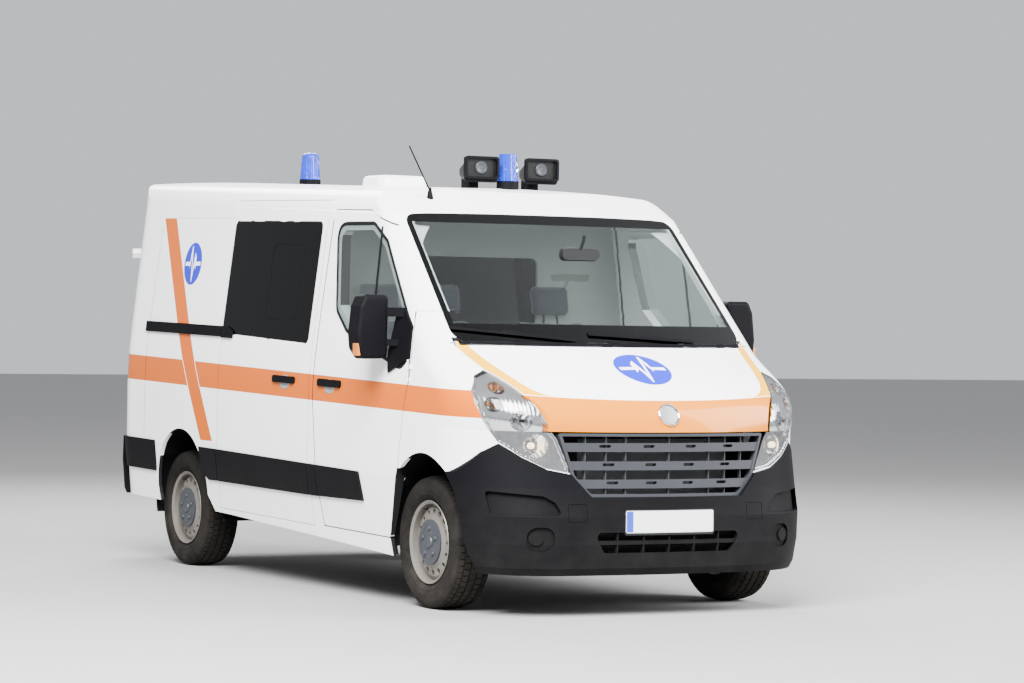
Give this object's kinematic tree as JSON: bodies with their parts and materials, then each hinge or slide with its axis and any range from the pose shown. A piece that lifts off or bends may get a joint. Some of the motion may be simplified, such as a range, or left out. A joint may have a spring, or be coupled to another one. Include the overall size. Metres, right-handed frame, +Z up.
{
  "type": "ambulance",
  "caption": "Low roofed panel van ambulance with orange band, hinged cab and rear doors, bonnet, steered front wheels and free wheels",
  "frame": {"origin": "on the ground under the middle of the vehicle's bounding box", "axes": "+X to the vehicle's left, +Y to its rear, +Z up"},
  "size_m": [2.4696, 5.047, 2.5178],
  "materials": {
    "body_white": "gloss white body paint",
    "dark_plastic": "textured dark grey plastic",
    "grey_plastic": "silver grey plastic",
    "clear_glass": "clear glass with a faint green tint",
    "tinted_glass": "dark tinted glass",
    "lamp_chrome": "bright lamp reflector",
    "lamp_lens": "clear lamp lens",
    "red_lens": "red lamp lens",
    "blue_lens": "blue beacon lens",
    "grey_panel": "light grey inner panel",
    "cabin_plastic": "dark cabin plastic",
    "seat_fabric": "dark woven seat cloth",
    "cast_metal": "rough cast metal",
    "chassis_steel": "black painted steel",
    "exhaust_steel": "dull steel",
    "tyre_rubber": "dusty black rubber",
    "wheel_steel": "silver painted steel"
  },
  "bodies": {
    "body": {"floor_pan": "body_white", "side_wall_left": "body_white", "side_wall_right": "body_white", "roof": "body_white", "wing_left": "body_white", "wing_right": "body_white", "scuttle": "dark_plastic", "windscreen": "clear_glass", "wipers": "dark_plastic", "grille": "grey_plastic", "radiator": "cast_metal", "front_bumper": "dark_plastic", "headlamps": "lamp_chrome", "headlamp_lenses": "lamp_lens", "sliding_door": "body_white", "side_windows": "tinted_glass", "side_trim": "dark_plastic", "rear_bumper": "dark_plastic", "tail_lamps": "red_lens", "bulkhead": "grey_panel", "dashboard": "cabin_plastic", "seats": "seat_fabric", "engine_block": "cast_metal", "front_subframe": "chassis_steel", "rear_axle": "chassis_steel", "fuel_tank": "cabin_plastic", "exhaust": "exhaust_steel", "arch_liners": "dark_plastic", "roof_vent": "grey_plastic", "roof_fittings": "dark_plastic", "beacon_domes": "blue_lens"},
    "front_door_left": {"front_door_left": "body_white", "door_glass_left": "clear_glass", "door_trim_left": "dark_plastic"},
    "front_door_right": {"front_door_right": "body_white", "door_glass_right": "clear_glass", "door_trim_right": "dark_plastic"},
    "rear_door_left": {"rear_door_left": "body_white", "rear_glass_left": "tinted_glass"},
    "rear_door_right": {"rear_door_right": "body_white", "rear_glass_right": "tinted_glass"},
    "bonnet": {"bonnet": "body_white"},
    "steering_wheel": {"steering_wheel": "cabin_plastic"},
    "knuckle_left": {"knuckle_left": "chassis_steel"},
    "knuckle_right": {"knuckle_right": "chassis_steel"},
    "wheel_front_left": {"tyre_front_left": "tyre_rubber", "rim_front_left": "wheel_steel"},
    "wheel_front_right": {"tyre_front_right": "tyre_rubber", "rim_front_right": "wheel_steel"},
    "wheel_rear_left": {"tyre_rear_left": "tyre_rubber", "rim_rear_left": "wheel_steel"},
    "wheel_rear_right": {"tyre_rear_right": "tyre_rubber", "rim_rear_right": "wheel_steel"}
  },
  "joints": [
    {"name": "front_door_left_hinge", "type": "hinge", "parent": "body", "child": "front_door_left", "pos_m": [1.034, -1.588, 1.2], "axis": [0, 0, -1], "range_deg": [0, 70]},
    {"name": "front_door_right_hinge", "type": "hinge", "parent": "body", "child": "front_door_right", "pos_m": [-1.034, -1.588, 1.2], "axis": [0, 0, 1], "range_deg": [0, 70]},
    {"name": "rear_door_left_hinge", "type": "hinge", "parent": "body", "child": "rear_door_left", "pos_m": [0.88, 2.503, 1.3], "axis": [0, 0, -1], "range_deg": [0, 180]},
    {"name": "rear_door_right_hinge", "type": "hinge", "parent": "body", "child": "rear_door_right", "pos_m": [-0.88, 2.503, 1.3], "axis": [0, 0, 1], "range_deg": [0, 180]},
    {"name": "bonnet_hinge", "type": "hinge", "parent": "body", "child": "bonnet", "pos_m": [0, -1.797, 1.378], "axis": [-1, 0, 0], "range_deg": [0, 55]},
    {"name": "steering_left", "type": "hinge", "parent": "body", "child": "knuckle_left", "pos_m": [0.75855, -1.707, 0.345], "axis": [-0.2535, 0, 0.9673], "range_deg": [-35, 35]},
    {"name": "steering_right", "type": "hinge", "parent": "body", "child": "knuckle_right", "pos_m": [-0.75855, -1.707, 0.345], "axis": [0.2535, 0, 0.9673], "range_deg": [-35, 35]},
    {"name": "steering_wheel_turn", "type": "hinge", "parent": "body", "child": "steering_wheel", "pos_m": [0.43, -1.282, 1.29], "axis": [0, 0.6, 0.8], "range_deg": [-525, 525]},
    {"name": "wheel_front_left_spin", "type": "hinge", "parent": "knuckle_left", "child": "wheel_front_left", "pos_m": [0.865, -1.707, 0.345], "axis": [1, 0, 0], "continuous": true},
    {"name": "wheel_front_right_spin", "type": "hinge", "parent": "knuckle_right", "child": "wheel_front_right", "pos_m": [-0.865, -1.707, 0.345], "axis": [1, 0, 0], "continuous": true},
    {"name": "wheel_rear_left_spin", "type": "hinge", "parent": "body", "child": "wheel_rear_left", "pos_m": [0.85, 1.475, 0.345], "axis": [1, 0, 0], "continuous": true},
    {"name": "wheel_rear_right_spin", "type": "hinge", "parent": "body", "child": "wheel_rear_right", "pos_m": [-0.85, 1.475, 0.345], "axis": [1, 0, 0], "continuous": true}
  ],
  "couplings": [
    {"joint": "steering_right", "follows": "steering_left", "ratio": 1},
    {"joint": "steering_wheel_turn", "follows": "steering_left", "ratio": 15}
  ]
}
